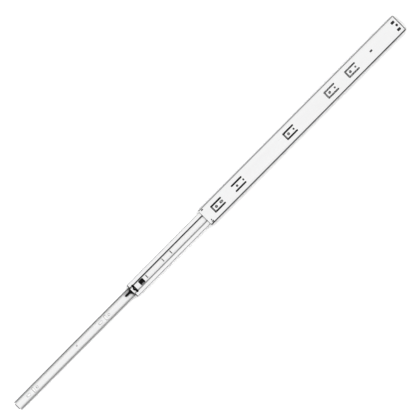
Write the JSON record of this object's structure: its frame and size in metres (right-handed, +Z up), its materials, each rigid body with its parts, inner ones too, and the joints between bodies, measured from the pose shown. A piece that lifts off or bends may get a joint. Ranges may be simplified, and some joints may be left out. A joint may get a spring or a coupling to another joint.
{
  "type": "drawer slide",
  "caption": "Full-extension cabinet drawer slide: nested zinc-plated steel sections run on caged balls, with a black release lever and a moulded rear bumper; shown fully drawn out.",
  "frame": {"origin": "on the cabinet section's mounting face, at the middle of its length and height", "axes": "+X along the slide towards the back of the cabinet, so the drawer opens towards -X; +Y from the cabinet's side panel to the drawer; +Z up"},
  "size_m": [1.19, 0.0127, 0.045],
  "materials": {
    "zinc_plated_steel": "cold-rolled steel strip, bright zinc plated",
    "cage_steel": "thin pressed steel strip, plain",
    "ball_steel": "hardened and polished steel",
    "rivet_steel": "upset steel rivet, phosphated dark",
    "black_plastic": "moulded acetal, fine matt texture"
  },
  "bodies": {
    "cabinet_section": {"cabinet_member": "zinc_plated_steel", "rear_bumper": "black_plastic"},
    "outer_ball_trains": {"outer_cage_upper": "cage_steel", "outer_cage_lower": "cage_steel", "outer_ball_upper_01": "ball_steel", "outer_ball_upper_02": "ball_steel", "outer_ball_upper_03": "ball_steel", "outer_ball_upper_04": "ball_steel", "outer_ball_upper_05": "ball_steel", "outer_ball_upper_06": "ball_steel", "outer_ball_upper_07": "ball_steel", "outer_ball_upper_08": "ball_steel", "outer_ball_upper_09": "ball_steel", "outer_ball_upper_10": "ball_steel", "outer_ball_upper_11": "ball_steel", "outer_ball_upper_12": "ball_steel", "outer_ball_upper_13": "ball_steel", "outer_ball_lower_01": "ball_steel", "outer_ball_lower_02": "ball_steel", "outer_ball_lower_03": "ball_steel", "outer_ball_lower_04": "ball_steel", "outer_ball_lower_05": "ball_steel", "outer_ball_lower_06": "ball_steel", "outer_ball_lower_07": "ball_steel", "outer_ball_lower_08": "ball_steel", "outer_ball_lower_09": "ball_steel", "outer_ball_lower_10": "ball_steel", "outer_ball_lower_11": "ball_steel", "outer_ball_lower_12": "ball_steel", "outer_ball_lower_13": "ball_steel"},
    "intermediate_section": {"intermediate_member": "zinc_plated_steel"},
    "inner_ball_trains": {"inner_cage_upper": "cage_steel", "inner_cage_lower": "cage_steel", "inner_ball_upper_01": "ball_steel", "inner_ball_upper_02": "ball_steel", "inner_ball_upper_03": "ball_steel", "inner_ball_upper_04": "ball_steel", "inner_ball_upper_05": "ball_steel", "inner_ball_upper_06": "ball_steel", "inner_ball_upper_07": "ball_steel", "inner_ball_upper_08": "ball_steel", "inner_ball_upper_09": "ball_steel", "inner_ball_upper_10": "ball_steel", "inner_ball_lower_01": "ball_steel", "inner_ball_lower_02": "ball_steel", "inner_ball_lower_03": "ball_steel", "inner_ball_lower_04": "ball_steel", "inner_ball_lower_05": "ball_steel", "inner_ball_lower_06": "ball_steel", "inner_ball_lower_07": "ball_steel", "inner_ball_lower_08": "ball_steel", "inner_ball_lower_09": "ball_steel", "inner_ball_lower_10": "ball_steel"},
    "drawer_section": {"drawer_member": "zinc_plated_steel", "lever_rivet": "rivet_steel"},
    "lever": {"release_lever": "black_plastic"}
  },
  "joints": [
    {"name": "intermediate_slide", "type": "slide", "parent": "cabinet_section", "child": "intermediate_section", "axis": [1, 0, 0], "range_m": [0, 0.2268]},
    {"name": "outer_balls_slide", "type": "slide", "parent": "cabinet_section", "child": "outer_ball_trains", "axis": [1, 0, 0], "range_m": [0, 0.1135]},
    {"name": "drawer_slide", "type": "slide", "parent": "intermediate_section", "child": "drawer_section", "axis": [1, 0, 0], "range_m": [0, 0.3562]},
    {"name": "inner_balls_slide", "type": "slide", "parent": "intermediate_section", "child": "inner_ball_trains", "axis": [1, 0, 0], "range_m": [0, 0.1782]},
    {"name": "lever_pivot", "type": "hinge", "parent": "drawer_section", "child": "lever", "pos_m": [-0.5204, 0.0099, 0], "axis": [0, 1, 0], "range_deg": [-10, 0], "stiffness_Nm_per_rad": 0.05, "springref_deg": 5.73}
  ],
  "couplings": [
    {"joint": "outer_balls_slide", "follows": "intermediate_slide", "ratio": 0.5},
    {"joint": "inner_balls_slide", "follows": "drawer_slide", "ratio": 0.5}
  ]
}
